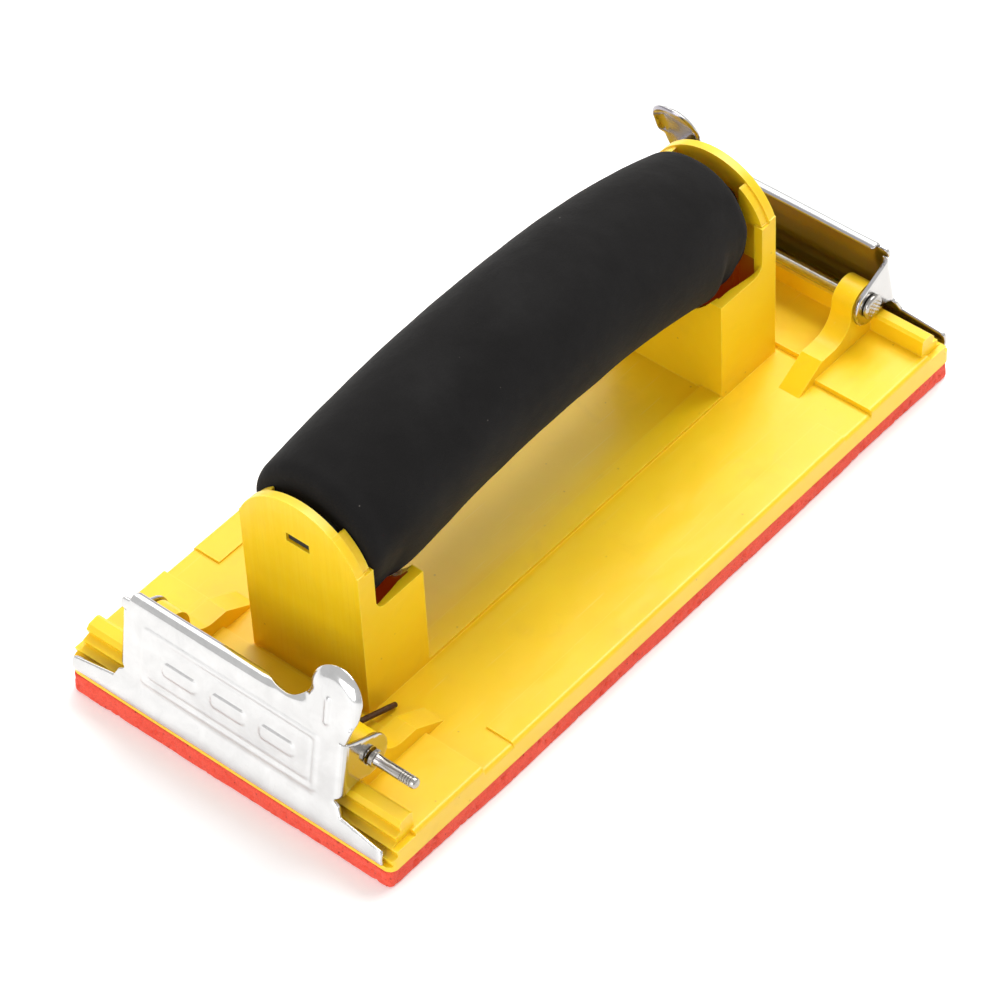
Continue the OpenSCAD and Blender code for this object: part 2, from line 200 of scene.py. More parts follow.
def yellow_plastic():
    mat = Mat("yellow_moulded_plastic")
    x, y, z = mat.split(mat.point)
    from_mid = mat.math("ABSOLUTE", x)
    aside = mat.math("ABSOLUTE", y)
    cloud = mat.ramp(mat.noise(0.035, detail=3, rough=0.55), start=0.3, end=0.72)
    color = mat.mix(cloud, (0.885, 0.565, 0.004), (0.94, 0.625, 0.006))
    # flow lines on the outer faces of the two end flanges
    flange = mat.times(mat.above(from_mid, 75.2), mat.above(z, 13.4),
                       mat.below(aside, 18.2), mat.below(from_mid, 76.2))
    streak = mat.noise(detail=4, rough=0.6, point=mat.stretched(1.0, 1.15, 0.035),
                       distortion=0.25)
    streaked = mat.times(flange, mat.ramp(streak, start=0.44, end=0.62))
    color = mat.tint(color, streaked, amount=0.16, to=(0.98, 0.74, 0.06))
    thin = mat.noise(point=mat.stretched(1.0, 2.6, 0.05))
    thin_lines = mat.times(flange, mat.ramp(thin, start=0.60, end=0.70))
    color = mat.tint(color, thin_lines, amount=0.10, to=(0.62, 0.34, 0.0))
    # faint brown smears from handling
    smear = mat.ramp(mat.noise(0.11, detail=5, rough=0.62, distortion=0.6), start=0.58, end=0.74)
    color = mat.tint(color, smear, amount=0.10, to=(0.42, 0.26, 0.03))
    # long fine scratches along the block
    scratch = mat.noise(point=mat.stretched(0.05, 2.2, 2.2), distortion=0.3)
    scratch = mat.ramp(scratch, start=0.69, end=0.72)
    color = mat.tint(color, scratch, amount=0.18, to=(0.98, 0.78, 0.22))
    dust = mat.below(mat.cells(0.16), 0.045)
    color = mat.tint(color, dust, amount=0.35, to=(0.30, 0.16, 0.02))
    # edge wear and a painted highlight: the rounded edges are lightened
    edge = mat.edge(radius=0.0005, power=2.2)
    color = mat.tint(color, edge, amount=0.55, to=(0.98, 0.80, 0.12))
    # painted shade inside the posts' cavities, with a faint painted red glow there as well
    cavity_shade = mat.times(mat.between(from_mid, 56.6, 73.1), mat.below(aside, 15.6),
                       mat.between(z, 13.1, 41.75))
    color = mat.tint(color, cavity_shade, amount=0.80, to=(0.20, 0.09, 0.004))
    rough = mat.raised(0.30, mat.noise(0.25, detail=4, rough=0.6), amount=0.16)
    flow = mat.times(mat.raised(streak, thin, amount=0.3), flange)
    return mat.surface(
        Base_Color=color,
        Roughness=mat.raised(rough, scratch, amount=0.12),
        Normal=mat.bumps((mat.noise(0.10), 0.25, 0.0010),
                         (mat.noise(6.5), 0.10, 0.00006),
                         (flow, 0.18, 0.00020),
                         (mat.inverse(scratch), 0.15, 0.00004)),
        # painted red glow inside the posts' cavities
        Emission_Color=(0.60, 0.045, 0.003, 1),
        Emission_Strength=mat.times(cavity_shade, 0.11),
        Subsurface_Weight=0.22,
        Subsurface_Radius=(1.0, 0.42, 0.05),
        Subsurface_Scale=0.0022,
        IOR=1.5,
        Coat_Weight=0.08,
        Coat_Roughness=0.18,
    )


def grip_foam():
    mat = Mat("black_grip_foam")
    skin = mat.ramp(mat.noise(0.06, detail=4, rough=0.6), start=0.3, end=0.7)
    color = mat.mix(skin, (0.0048, 0.0044, 0.0044), (0.0082, 0.0076, 0.0076))
    solid = mat.ramp(mat.cells(1.15), start=0.03, end=0.10)  # 0 in the pores
    color = mat.mix(mat.inverse(solid), color, (0.004, 0.004, 0.004))
    lint = mat.below(mat.cells(0.14), 0.028)
    color = mat.tint(color, lint, amount=0.25, to=(0.30, 0.27, 0.24))
    worn = mat.ramp(mat.noise(0.045, detail=3, distortion=0.4), start=0.48, end=0.75)
    return mat.surface(
        Base_Color=color,
        Roughness=mat.math("SUBTRACT", 0.86, mat.times(worn, 0.14)),
        Normal=mat.bumps((mat.noise(0.18, detail=3, rough=0.55), 0.35, 0.0008),
                         (mat.cells(3.2), 0.35, 0.00010),
                         (mat.noise(5.5, detail=3, rough=0.6), 0.35, 0.00008),
                         (solid, 0.5, 0.00015)),
        Sheen_Weight=0.03,
        Sheen_Roughness=0.5,
        Sheen_Tint=(0.9, 0.85, 0.8, 1),
        Specular_IOR_Level=0.15,
    )


def pad_foam():
    mat = Mat("red_pad_foam")
    tone = mat.ramp(mat.noise(0.05, detail=4, rough=0.6), start=0.3, end=0.7)
    color = mat.mix(tone, (0.86, 0.085, 0.045), (0.93, 0.115, 0.066))
    grain = mat.noise(2.6, detail=4, rough=0.65)
    dark_grain = mat.ramp(grain, start=0.35, end=0.6, low=0.55, high=0.0)
    color = mat.mix(dark_grain, color, (0.60, 0.035, 0.02))
    # open cells in two sizes
    pore = mat.math("MAXIMUM",
                    mat.ramp(mat.cells(0.42), start=0.05, end=0.12, low=1.0, high=0.0),
                    mat.ramp(mat.cells(1.3), start=0.07, end=0.15, low=0.8, high=0.0))
    color = mat.tint(color, pore, amount=0.75, to=(0.30, 0.018, 0.012))
    # darker in patches in the lowest millimetre
    low = mat.ramp(mat.split(mat.point)[2], start=0.0, end=1.0, low=1.0, high=0.0)
    patches = mat.times(mat.noise(0.3, detail=3, rough=0.6), 0.5)
    color = mat.tint(color, low, amount=patches, to=(0.42, 0.03, 0.02))
    return mat.surface(
        Base_Color=color,
        Roughness=0.82,
        Normal=mat.bumps((grain, 0.5, 0.00025),
                         (mat.inverse(pore), 0.7, 0.0004),
                         (mat.noise(9.0), 0.3, 0.00006)),
        Subsurface_Weight=0.25,
        Subsurface_Radius=(1.0, 0.25, 0.15),
        Subsurface_Scale=0.0015,
        Specular_IOR_Level=0.3,
        Sheen_Weight=0.08,
    )


def adhesive():
    mat = Mat("clear_adhesive_film")
    blotch = mat.noise(0.5, detail=3, rough=0.6)
    return mat.surface(
        Base_Color=mat.mix(blotch, (0.46, 0.050, 0.020), (0.58, 0.080, 0.035)),
        Roughness=mat.raised(0.3, blotch, amount=0.2),
        Normal=mat.bumps((blotch, 0.3, 0.0001)),
        Subsurface_Weight=0.2,
        Subsurface_Scale=0.001,
    )


def core_plastic():
    mat = Mat("black_core_plastic")
    blotch = mat.noise(0.4, detail=3, rough=0.6)
    return mat.surface(
        Base_Color=mat.mix(blotch, (0.004, 0.004, 0.0045), (0.010, 0.010, 0.010)),
        Roughness=mat.raised(0.42, blotch, amount=0.15),
        Normal=mat.bumps((mat.noise(5.0), 0.2, 0.0001)),
    )


def zinc():
    mat = Mat("zinc_plated_sheet")
    cloud = mat.noise(0.16, detail=4, rough=0.6, distortion=0.5)
    color = mat.mix(mat.ramp(cloud, start=0.32, end=0.7),
                    (0.625, 0.62, 0.615), (0.705, 0.70, 0.695))
    brush = mat.noise(detail=4, rough=0.65, point=mat.stretched(5.5, 0.16, 5.5))
    rub = mat.noise(detail=3, rough=0.6, point=mat.stretched(0.5, 1.6, 0.28), distortion=1.2)
    rub = mat.ramp(rub, start=0.60, end=0.72)
    color = mat.tint(color, rub, amount=0.16, to=(0.56, 0.55, 0.53))
    pits = mat.below(mat.cells(0.55), 0.05)
    color = mat.tint(color, pits, amount=0.14, to=(0.40, 0.38, 0.36))
    # painted shade: the face that looks towards the middle of the block is darkened
    normal = mat.node("ShaderNodeVectorTransform",
                      mat.node("ShaderNodeNewGeometry", out="True Normal"),
                      props={"vector_type": "NORMAL", "convert_from": "WORLD",
                             "convert_to": "OBJECT"})
    normal_x, normal_y, _ = mat.split(normal)
    outward = mat.times(normal_x, mat.math("SIGN", mat.split(mat.point)[0]))
    inner = mat.ramp(mat.times(outward, -1.0), start=0.25, end=0.65)
    color = mat.tint(color, inner, amount=0.88, to=(0.31, 0.29, 0.33))
    # painted shade also on the ears, whose faces look along Y
    ears = mat.ramp(mat.math("ABSOLUTE", normal_y), start=0.55, end=0.85)
    color = mat.tint(color, ears, amount=0.62, to=(0.46, 0.45, 0.43))
    # painted highlight: the rounded edges are lightened
    edge = mat.edge(radius=0.0004, power=2.5)
    color = mat.tint(color, edge, amount=0.5, to=(0.95, 0.95, 0.95))
    rough = mat.raised(0.09, cloud, amount=0.08)
    rough = mat.raised(rough, brush, amount=0.04)
    return mat.surface(
        Base_Color=color,
        Roughness=mat.raised(rough, rub, amount=0.10),
        Normal=mat.bumps((mat.noise(0.20, detail=3), 0.12, 0.0005),
                         (brush, 0.07, 0.00005),
                         (mat.cells(0.9), 0.05, 0.00006)),
        Metallic=1.0,
    )


def pin_metal():
    mat = Mat("plated_pin_steel")
    drawn = mat.noise(detail=4, rough=0.6, point=mat.stretched(2.5, 0.35, 2.5))
    color = mat.mix(mat.ramp(drawn, start=0.35, end=0.65), (0.37, 0.35, 0.325), (0.52, 0.50, 0.47))
    dirt = mat.ramp(mat.noise(0.5, detail=3, rough=0.6), start=0.56, end=0.72)
    # darker in patches, more so outside the clamp's ears
    outside = mat.above(mat.math("ABSOLUTE", mat.split(mat.point)[1]), 34.9)
    darkening_amount = mat.raised(0.10, outside, amount=0.25)
    return mat.surface(
        Base_Color=mat.tint(color, dirt, amount=darkening_amount, to=(0.14, 0.12, 0.10)),
        Roughness=mat.raised(0.14, drawn, amount=0.10),
        Metallic=1.0,
        Normal=mat.bumps((drawn, 0.08, 0.00005)),
    )


def spring_metal():
    mat = Mat("oiled_spring_wire")
    oil = mat.noise(1.4, detail=4, rough=0.65)
    return mat.surface(
        Base_Color=mat.mix(mat.ramp(oil, start=0.35, end=0.68),
                           (0.045, 0.020, 0.010), (0.115, 0.062, 0.034)),
        Roughness=mat.raised(0.36, oil, amount=0.2),
        Metallic=0.7,
        Normal=mat.bumps((mat.noise(6.0), 0.2, 0.00005)),
    )


YELLOW = yellow_plastic()
GRIP = grip_foam()
PAD = pad_foam()
GLUE = adhesive()
CORE = core_plastic()
ZINC = zinc()
PIN = pin_metal()
SPRING = spring_metal()

# ------------------------------------------------------------------ mesh helpers


def link_object(name, data):
    ob = bpy.data.objects.new(name, data)
    bpy.context.scene.collection.objects.link(ob)
    return ob


def shade_smooth(mesh):
    mesh.polygons.foreach_set("use_smooth", [True] * len(mesh.polygons))


def make(name, verts, faces, material, turn=False):
    """A smooth object from points in millimetres; turn puts it at the rear, half a turn round."""
    points = np.asarray(verts, float) * MM
    if turn:
        points = points * np.array([-1, -1, 1])
    mesh = bpy.data.meshes.new(name)
    mesh.from_pydata(points.tolist(), [], [list(map(int, face)) for face in faces])
    mesh.validate()
    bm = bmesh.new()
    bm.from_mesh(mesh)
    bmesh.ops.remove_doubles(bm, verts=bm.verts, dist=1e-6)
    bmesh.ops.recalc_face_normals(bm, faces=bm.faces)
    bm.to_mesh(mesh)
    bm.free()
    mesh.materials.append(material)
    shade_smooth(mesh)
    return link_object(name, mesh)


def apply_modifiers(ob):
    bpy.context.view_layer.update()
    graph = bpy.context.evaluated_depsgraph_get()
    mesh = bpy.data.meshes.new_from_object(ob.evaluated_get(graph))
    ob.modifiers.clear()
    old = ob.data
    ob.data = mesh
    bpy.data.meshes.remove(old)
    ob.data.name = ob.name


def sharp_by_angle(ob, degrees):
    """Marks edges sharper than this so that smooth shading breaks there."""
    bm = bmesh.new()
    bm.from_mesh(ob.data)
    limit = math.radians(degrees)
    for edge in bm.edges:
        if len(edge.link_faces) == 2:
            edge.smooth = edge.calc_face_angle(0.0) < limit
    bm.to_mesh(ob.data)
    bm.free()


def ring_quads(ring_count, size, wrap=False):
    """Quads between successive rings of equal size; wrap joins the last ring to the first."""
    faces = []
    for i in range(ring_count if wrap else ring_count - 1):
        a, b = i * size, (i + 1) % ring_count * size
        for j in range(size):
            j2 = (j + 1) % size
            faces.append((a + j, a + j2, b + j2, b + j))
    return faces


def capped_rings(rings):
    """Vertices and faces of a row of rings, with both ends closed by fans."""
    size = len(rings[0])
    verts = np.concatenate(rings)
    faces = ring_quads(len(rings), size)
    centre = len(verts)
    last = centre - size
    for j in range(size):
        j2 = (j + 1) % size
        faces.append((j2, j, centre))
        faces.append((last + j, last + j2, centre + 1))
    return np.vstack([verts, rings[0].mean(0), rings[-1].mean(0)]), faces


def grid_points(across, up, stagger=0.0):
    """2D points of a grid, row by row; every second row is shifted by stagger."""
    x, y = np.meshgrid(across, up)
    x = x + (np.arange(x.shape[0])[:, None] % 2) * stagger
    return np.c_[x.ravel(), y.ravel()]


def inside(points, poly):
    """Which 2D points are inside a polygon."""
    x, y = points[:, 0], points[:, 1]
    result = np.zeros(len(points), bool)
    px, py = poly[:, 0], poly[:, 1]
    j = len(poly) - 1
    for i in range(len(poly)):
        spans = (py[i] > y) != (py[j] > y)
        with np.errstate(divide="ignore", invalid="ignore"):
            crossing = (px[j] - px[i]) * (y - py[i]) / (py[j] - py[i]) + px[i]
        result ^= spans & (x < crossing)
        j = i
    return result


def edge_distance(points, poly):
    """Distance from 2D points to a closed polygon's edges."""
    best = np.full(len(points), 1e9)
    for start, end in zip(poly, np.roll(poly, -1, 0)):
        run = end - start
        t = np.clip(((points - start) @ run) / ((run @ run) or 1e-12), 0, 1)
        best = np.minimum(best, np.linalg.norm(points - start - t[:, None] * run, axis=1))
    return best


def resample(poly, step):
    """A closed polygon with its edges cut into pieces no longer than step."""
    out = []
    lengths = np.linalg.norm(np.diff(np.vstack([poly, poly[:1]]), axis=0), axis=1)
    for start, end, length in zip(poly, np.roll(poly, -1, 0), lengths):
        count = max(1, int(math.ceil(length / step)))
        out += [start + (end - start) * i / count for i in range(count)]
    return np.array(out)


def round_corners(poly, radii, steps):
    """Rounds the corners of a closed polygon; a radius of 0 keeps the point."""
    out = []
    for i, radius in enumerate(radii):
        corner = np.array(poly[i], float)
        if radius <= 0:
            out.append(corner)
            continue
        back = np.array(poly[i - 1], float) - corner
        ahead = np.array(poly[(i + 1) % len(poly)], float) - corner
        back_length, ahead_length = np.linalg.norm(back), np.linalg.norm(ahead)
        u, v = back / back_length, ahead / ahead_length
        half = math.acos(np.clip(u @ v, -1, 1)) / 2
        cut = min(radius / math.tan(half), 0.48 * back_length, 0.48 * ahead_length)
        radius = cut * math.tan(half)
        centre = corner + (u + v) / np.linalg.norm(u + v) * (radius / math.sin(half))
        start, end = corner + u * cut - centre, corner + v * cut - centre
        angle = math.acos(np.clip((start @ end) / (radius * radius), -1, 1))
        for k in range(steps + 1):
            t = k / steps
            spoke = start
            if angle > 1e-6:
                spoke = (math.sin((1 - t) * angle) * start
                         + math.sin(t * angle) * end) / math.sin(angle)
            out.append(centre + spoke)
    return np.array(out)


def triangulate(loops, extra):
    """Triangles of the area inside loops[0] and outside the other loops, with extra points."""
    points, edges = [], []
    for loop in loops:
        first = len(points)
        points += [Vector(p) for p in loop]
        edges += [(first + i, first + (i + 1) % len(loop)) for i in range(len(loop))]
    points += [Vector(p) for p in extra]
    result = delaunay_2d_cdt(points, edges, [], 0, 1e-5)
    verts = np.array([[p.x, p.y] for p in result[0]])
    triangles = np.array([face for face in result[2] if len(face) == 3])
    centres = verts[triangles].mean(1)
    keep = inside(centres, loops[0])
    for loop in loops[1:]:
        keep &= ~inside(centres, loop)
    return verts, triangles[keep]


def smoothstep(a, b, x):
    """0 at a and 1 at b, with a smooth slope between; a may be the larger."""
    t = np.clip((x - a) / (b - a), 0, 1)
    return t * t * (3 - 2 * t)


def fractal(points, scale, seed, octaves=3):
    """Smooth noise at each point, in millimetre coordinates."""
    offset = Vector((seed * 13.7, seed * 7.3, seed * 3.1))
    return np.array([noise.fractal(Vector(p) * scale + offset, 1.0, 2.0, octaves)
                     for p in points])


# ------------------------------------------------------------------ base moulding


def base_moulding():
    """The CAD base with its flat faces merged and its edges softened."""
    mesh = nodes["base"].data.copy()
    mesh.name = "base_moulding"
    bm = bmesh.new()
    bm.from_mesh(mesh)
    bmesh.ops.remove_doubles(bm, verts=bm.verts, dist=2e-6)
    bmesh.ops.dissolve_limit(bm, angle_limit=math.radians(0.6), use_dissolve_boundaries=False,
                             verts=bm.verts, edges=bm.edges)
    bmesh.ops.recalc_face_normals(bm, faces=bm.faces)
    bm.to_mesh(mesh)
    bm.free()
    mesh.materials.clear()
    mesh.materials.append(YELLOW)
    ob = link_object("base_moulding", mesh)
    bevel = ob.modifiers.new("soft_edges", "BEVEL")
    bevel.width = 0.00042
    bevel.segments = 3
    bevel.limit_method = "ANGLE"
    bevel.angle_limit = math.radians(28)
    bevel.use_clamp_overlap = True
    bevel.miter_outer = "MITER_ARC"
    bevel.loop_slide = True
    apply_modifiers(ob)
    shade_smooth(ob.data)
    sharp_by_angle(ob, 35)
    weighted = ob.modifiers.new("weighted", "WEIGHTED_NORMAL")
    weighted.keep_sharp = True
    weighted.weight = 60
    apply_modifiers(ob)
    return ob


base = base_moulding()
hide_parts("base")
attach(base, "block")

# ------------------------------------------------------------------ foam pad

PAD_MARGIN = 0.15      # the outline is drawn this far inside the CAD box
PAD_CORNER_R = 2.3
PAD_STEP = 0.55        # spacing of points round the outline
PORE_COUNT = 900
FACE_GRID = 1.6        # spacing of points on the top and working faces
# height, inset of the outline there
PAD_STATIONS = [
    (0.0, 0.75), (0.12, 0.38), (0.35, 0.14), (0.7, 0.03), (1.2, 0), (1.7, 0), (2.2, 0), (2.7, 0),
    (3.2, 0), (3.7, 0), (4.2, 0), (4.6, 0), (4.95, 0.04), (PAD_H - 0.14, 0.10), (PAD_H, 0.35),
]


def pad_walls(outline, normals):
    """Rings of the pad's sides from the bottom up, as the knife cut them."""
    rings = []
    wander = fractal(np.c_[outline, np.zeros(len(outline))], 0.02, seed=3) * 0.55
    for z, inset in PAD_STATIONS:
        # the knife leaned a little, so the lower edge is out of line with the upper one
        lean = (0.5 - z / PAD_H) * 0.9
        wave = wander * (1.1 - z / PAD_H) - 0.15
        ring = outline + normals * (-inset + wave)[:, None]
        ring = ring + np.array([0.25, -0.35]) * lean
        # the front end stands out further, most of all at the bottom
        front = smoothstep(-PAD_HALF_L + 12, -PAD_HALF_L, ring[:, 0])
        ring[:, 0] -= 0.9 * front * (1.15 - 0.75 * z / PAD_H)
        rings.append(np.c_[ring, np.full(len(ring), z)])
    return np.concatenate(rings)


def pad_relief(walls, size):
    """How far each point of the walls stands out: lumps, less the open pores."""
    heights = np.array([z for z, _ in PAD_STATIONS])
    body = (walls[:, 2] > 0.1) & (walls[:, 2] < PAD_H - 0.1)
    relief = np.zeros(len(walls))
    relief[body] = fractal(walls[body], 0.45, seed=5) * 0.09
    relief = relief.reshape(len(heights), size)
    for _ in range(PORE_COUNT):
        place = rng.integers(size)
        height = rng.uniform(0.4, PAD_H - 0.4)
        reach = rng.uniform(0.22, 0.5) * 1.6
        depth = rng.uniform(0.25, 0.6)
        for step in range(-2, 3):
            distance = np.hypot(heights - height, step * PAD_STEP)
            dent = np.where(distance < reach, depth * np.clip(1 - distance / reach, 0, 1), 0)
            relief[:, (place + step) % size] -= dent
    return relief.reshape(-1, 1)


def pad_sheet():
    half_l, half_w = PAD_HALF_L - PAD_MARGIN, PAD_HALF_W - PAD_MARGIN
    corners = [(-half_l, -half_w), (half_l, -half_w), (half_l, half_w), (-half_l, half_w)]
    outline = resample(round_corners(corners, [PAD_CORNER_R] * 4, 8), PAD_STEP)
    along = np.roll(outline, -1, 0) - np.roll(outline, 1, 0)
    normals = np.stack([along[:, 1], -along[:, 0]], 1)
    normals /= np.linalg.norm(normals, axis=1)[:, None]
    size, ring_count = len(outline), len(PAD_STATIONS)
    walls = pad_walls(outline, normals)
    outward = np.tile(np.c_[normals, np.zeros(size)], (ring_count, 1))
    walls = walls + outward * pad_relief(walls, size)
    faces = ring_quads(ring_count, size)
    verts = walls.tolist()
    for ring, is_top in ((0, False), (ring_count - 1, True)):
        first = ring * size
        loop = walls[first:first + size]
        grid = grid_points(np.arange(-PAD_HALF_L + 1.5, PAD_HALF_L - 1, FACE_GRID),
                           np.arange(-PAD_HALF_W + 1.5, PAD_HALF_W - 1, FACE_GRID))
        grid = grid + rng.uniform(-0.3, 0.3, grid.shape)
        clear = (inside(grid, loop[:, :2]) & (np.abs(grid[:, 0]) < PAD_HALF_L - 1.6)
                 & (np.abs(grid[:, 1]) < PAD_HALF_W - 1.6))
        points, triangles = triangulate([loop[:, :2]], grid[clear])
        # points of the outline are shared with the walls
        shared = {(round(x, 3), round(y, 3)): first + i for i, (x, y, _) in enumerate(loop)}
        ids = []
        for x, y in points:
            index = shared.get((round(x, 3), round(y, 3)))
            if index is None:
                index = len(verts)
                z = loop[0, 2]
                if not is_top:
                    z += 0.05 * max(0.0, noise.noise(Vector((x * 0.4, y * 0.4, 2.0))))
                verts.append([x, y, z])
            ids.append(index)
        for triangle in triangles:
            face = [ids[i] for i in triangle]
            faces.append(face if is_top else face[::-1])
    ob = make("foam_pad_sheet", verts, faces, PAD)
    sharp_by_angle(ob, 60)
    return ob


pad = pad_sheet()
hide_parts("foam_pad")
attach(pad, "block")

# ------------------------------------------------------------------ foam grip

GRIP_HALF_H = 20.0
GRIP_SIDES = 112
GRIP_STEP = 1.7                       # spacing of rings along the middle
BORE_HALF_W, BORE_HALF_H = 8.85, 11.05
# the centre line is an arc that drops by SAG at HALF_SPAN from the middle
SAG, HALF_SPAN = 7.6, 60
ARC_R = (HALF_SPAN * HALF_SPAN + SAG * SAG) / (2 * SAG)
ARC_Z = GRIP_TOP - GRIP_HALF_H - ARC_R
# distances of the rings of a rounded end from its end face, then the first middle ring's
END_RINGS = [0, 0.08, 0.3, 0.65, 1.1, 1.7, 2.4, 3.2, 4.1, 5.1, 6.2, 7.3]
MIDDLE_START = 8.6
SWELL = 0.3                           # the cloth pass starts this much under size
SWELL_FRAMES = 18
SWELL_MAX = 0.75
HOLLOW_XS = (-33, -12, 10, 31)
# x, growth of the upper half
UPPER_GROWTH = [(-70, 2.25), (-45, 1.4), (-10, 0.75), (20, 0.5), (45, 0.3), (60, -0.2),
                (70, -0.8)]
# x, growth of the lower half
LOWER_GROWTH = [
    (-70, -1.5), (-60, -1.5), (-58.4, -0.5), (-54.5, 0.35), (-50, 0.6), (-43, 0.8), (-31, 1.0),
    (-5, 1.05), (11, 1.0), (19, 0.65), (41, 0.5), (49, 0.25), (53, 0.25), (57.2, 0.25),
    (59.2, -1.9), (70, -1.9),
]


def arc_height(x):
    return ARC_Z + np.sqrt(ARC_R ** 2 - x ** 2)


def grip_rings(half_w, half_h, half_l):
    """Outer skin from the front end to the rear, then the bore back again: a closed tube."""
    angles = np.linspace(0, 2 * np.pi, GRIP_SIDES, endpoint=False)
    c, s = np.cos(angles), np.sin(angles)
    skin_y = np.sign(c) * np.abs(c) ** 0.93
    skin_z = np.sign(s) * np.abs(s) ** 0.93
    # the bore is a round-cornered bar in the same directions
    reach = (np.abs(c / BORE_HALF_W) ** 6 + np.abs(s / BORE_HALF_H) ** 6) ** (-1 / 6)
    bore_y, bore_z = c * reach, s * reach
    # the ends are rounded more underneath than on top
    end_r = 3.0 + 3.6 * smoothstep(0.3, -0.5, s)

    def ring(x, y, z):
        lift = 1 / math.sqrt(1 - (x / ARC_R) ** 2)
        return np.stack([np.full(GRIP_SIDES, x), y, arc_height(x) + z * lift], 1)

    def end_ring(x, distance):
        t = np.clip(1 - distance / end_r, 0, 1)
        inset = end_r * (1 - np.sqrt(1 - t * t))
        return ring(x, skin_y * (half_w - inset), skin_z * (half_h - inset))

    def end_face(x):
        """A ring half way between the skin's end and the bore."""
        return ring(x, (skin_y * (half_w - end_r) + bore_y) / 2,
                    (skin_z * (half_h - end_r) + bore_z) / 2)

    middle = half_l - MIDDLE_START
    count = int(round(2 * middle / GRIP_STEP))
    return ([end_ring(-half_l + d, d) for d in END_RINGS]
            + [ring(x, skin_y * half_w, skin_z * half_h)
               for x in np.linspace(-half_l + MIDDLE_START, middle, count + 1)]
            + [end_ring(half_l - d, d) for d in END_RINGS[::-1]]
            + [end_face(half_l)]
            + [ring(x, bore_y, bore_z) for x in np.linspace(half_l, -half_l, 25)]
            + [end_face(-half_l)])


def grip_section(co):
    """Height over the centre line, and distance from it where 1 is the nominal skin."""
    above = co[:, 2] - arc_height(co[:, 0])
    return above, np.hypot(co[:, 1] / GRIP_HALF_W, above / GRIP_HALF_H)


def swell(ob, co):
    """Cloth pass: the foam presses the skin out, held by the bore and the end faces."""
    _, radius = grip_section(co)
    hold = np.where(radius < 0.86, 1.0,
                    smoothstep(GRIP_HALF_L - 9, GRIP_HALF_L - 3, np.abs(co[:, 0])))
    group = ob.vertex_groups.new(name="hold")
    for i, weight in enumerate(hold):
        group.add([i], float(max(weight, 0.02)), "REPLACE")
    cloth = ob.modifiers.new("swell", "CLOTH")
    settings = cloth.settings
    settings.quality = 6
    settings.mass = 0.15
    settings.tension_stiffness = 8
    settings.compression_stiffness = 8
    settings.shear_stiffness = 4
    settings.bending_stiffness = 1.5
    settings.vertex_group_mass = "hold"
    settings.pin_stiffness = 1.2
    settings.use_pressure = True
    settings.uniform_pressure_force = 600.0
    settings.effector_weights.gravity = 0.0
    cloth.collision_settings.use_collision = False
    scene = bpy.context.scene
    for f in range(1, SWELL_FRAMES + 1):
        scene.frame_set(f)
    graph = bpy.context.evaluated_depsgraph_get()
    swollen = np.array([v.co for v in ob.evaluated_get(graph).data.vertices]) / MM
    ob.modifiers.clear()
    ob.vertex_groups.clear()
    scene.frame_set(1)
    move = swollen - co
    length = np.linalg.norm(move, axis=1)
    move *= np.where(length > SWELL_MAX, SWELL_MAX / np.maximum(length, 1e-9), 1.0)[:, None]
    move[hold > 0.97] = 0
    return co + move


def soften(co):
    """Gives the skin its uneven surface, finger hollows and uneven fullness."""
    above, radius = grip_section(co)
    skin = smoothstep(0.80, 0.92, radius)
    normals = np.c_[np.zeros(len(co)), co[:, 1] / GRIP_HALF_W ** 2, above / GRIP_HALF_H ** 2]
    normals /= np.linalg.norm(normals, axis=1)[:, None] + 1e-9
    growth = fractal(co, 0.022, seed=2) * 0.32 + fractal(co, 0.16, seed=6, octaves=2) * 0.07
    # faint hollows low on both sides
    for x in HOLLOW_XS:
        distance_sq = ((co[:, 0] - x) / 9.5) ** 2 + ((above + 11) / 9) ** 2
        growth -= 0.20 * np.exp(-distance_sq)
    growth -= 0.12
    # fuller on top, most at the front, and pinched below where it enters the posts
    up = smoothstep(-0.35, 0.35, normals[:, 2])
    growth += (np.interp(co[:, 0], *zip(*UPPER_GROWTH)) * up
               + np.interp(co[:, 0], *zip(*LOWER_GROWTH)) * (1 - up))
    co = co + normals * (growth * skin)[:, None]
    # both ends move a little to the front
    co[:, 0] -= 1.3 * smoothstep(46, 68, co[:, 0]) + 0.4 * smoothstep(-46, -68, co[:, 0])
    return co


def grip_sleeve():
    under = SWELL
    rings = grip_rings(GRIP_HALF_W - under, GRIP_HALF_H - under, GRIP_HALF_L - 0.1)
    faces = ring_quads(len(rings), GRIP_SIDES, wrap=True)
    ob = make("grip_sleeve", np.concatenate(rings), faces, GRIP)
    co = np.array([v.co for v in ob.data.vertices]) / MM
    co = swell(ob, co)
    co = soften(co)
    ob.data.vertices.foreach_set("co", (co * MM).astype(np.float32).ravel())
    ob.data.update()
    subdivision = ob.modifiers.new("subdivision", "SUBSURF")
    subdivision.levels = subdivision.render_levels = 1
    apply_modifiers(ob)
    shade_smooth(ob.data)
    return ob


grip = grip_sleeve()
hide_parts("grip_foam")
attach(grip, "block")

# ------------------------------------------------------------------ clamps
# A clamp is drawn as a flat blank and then bent. In the blank, u runs along Y from the middle and
# q runs up the sheet from the top of its straight plate, so the plate has q below 0.

SHEET = 1.1
BEND = 1.5                    # radius of an ear's fold, at mid surface
FOLD_U = 34.2 - SHEET / 2 - BEND   # where the fold to an ear starts
EAR_R = 5.5
HOLES = ((-1, 2.35), (1, 1.5))     # side, radius of the pin's hole in that ear
JAW_HALF_W = 47.8

# profiles of the sheet's mid surface, x and z at the front clamp
TOP = np.array([-99.5, 37.0])
PLATE_FALL = np.array([-4.0, -20.8])   # from the plate's top to its foot
PLATE_LEN = math.hypot(*PLATE_FALL)
PLATE_MID = 10.59             # a point about half way down the plate
DOWN = PLATE_FALL / PLATE_LEN
INWARD = np.array([-DOWN[1], DOWN[0]])
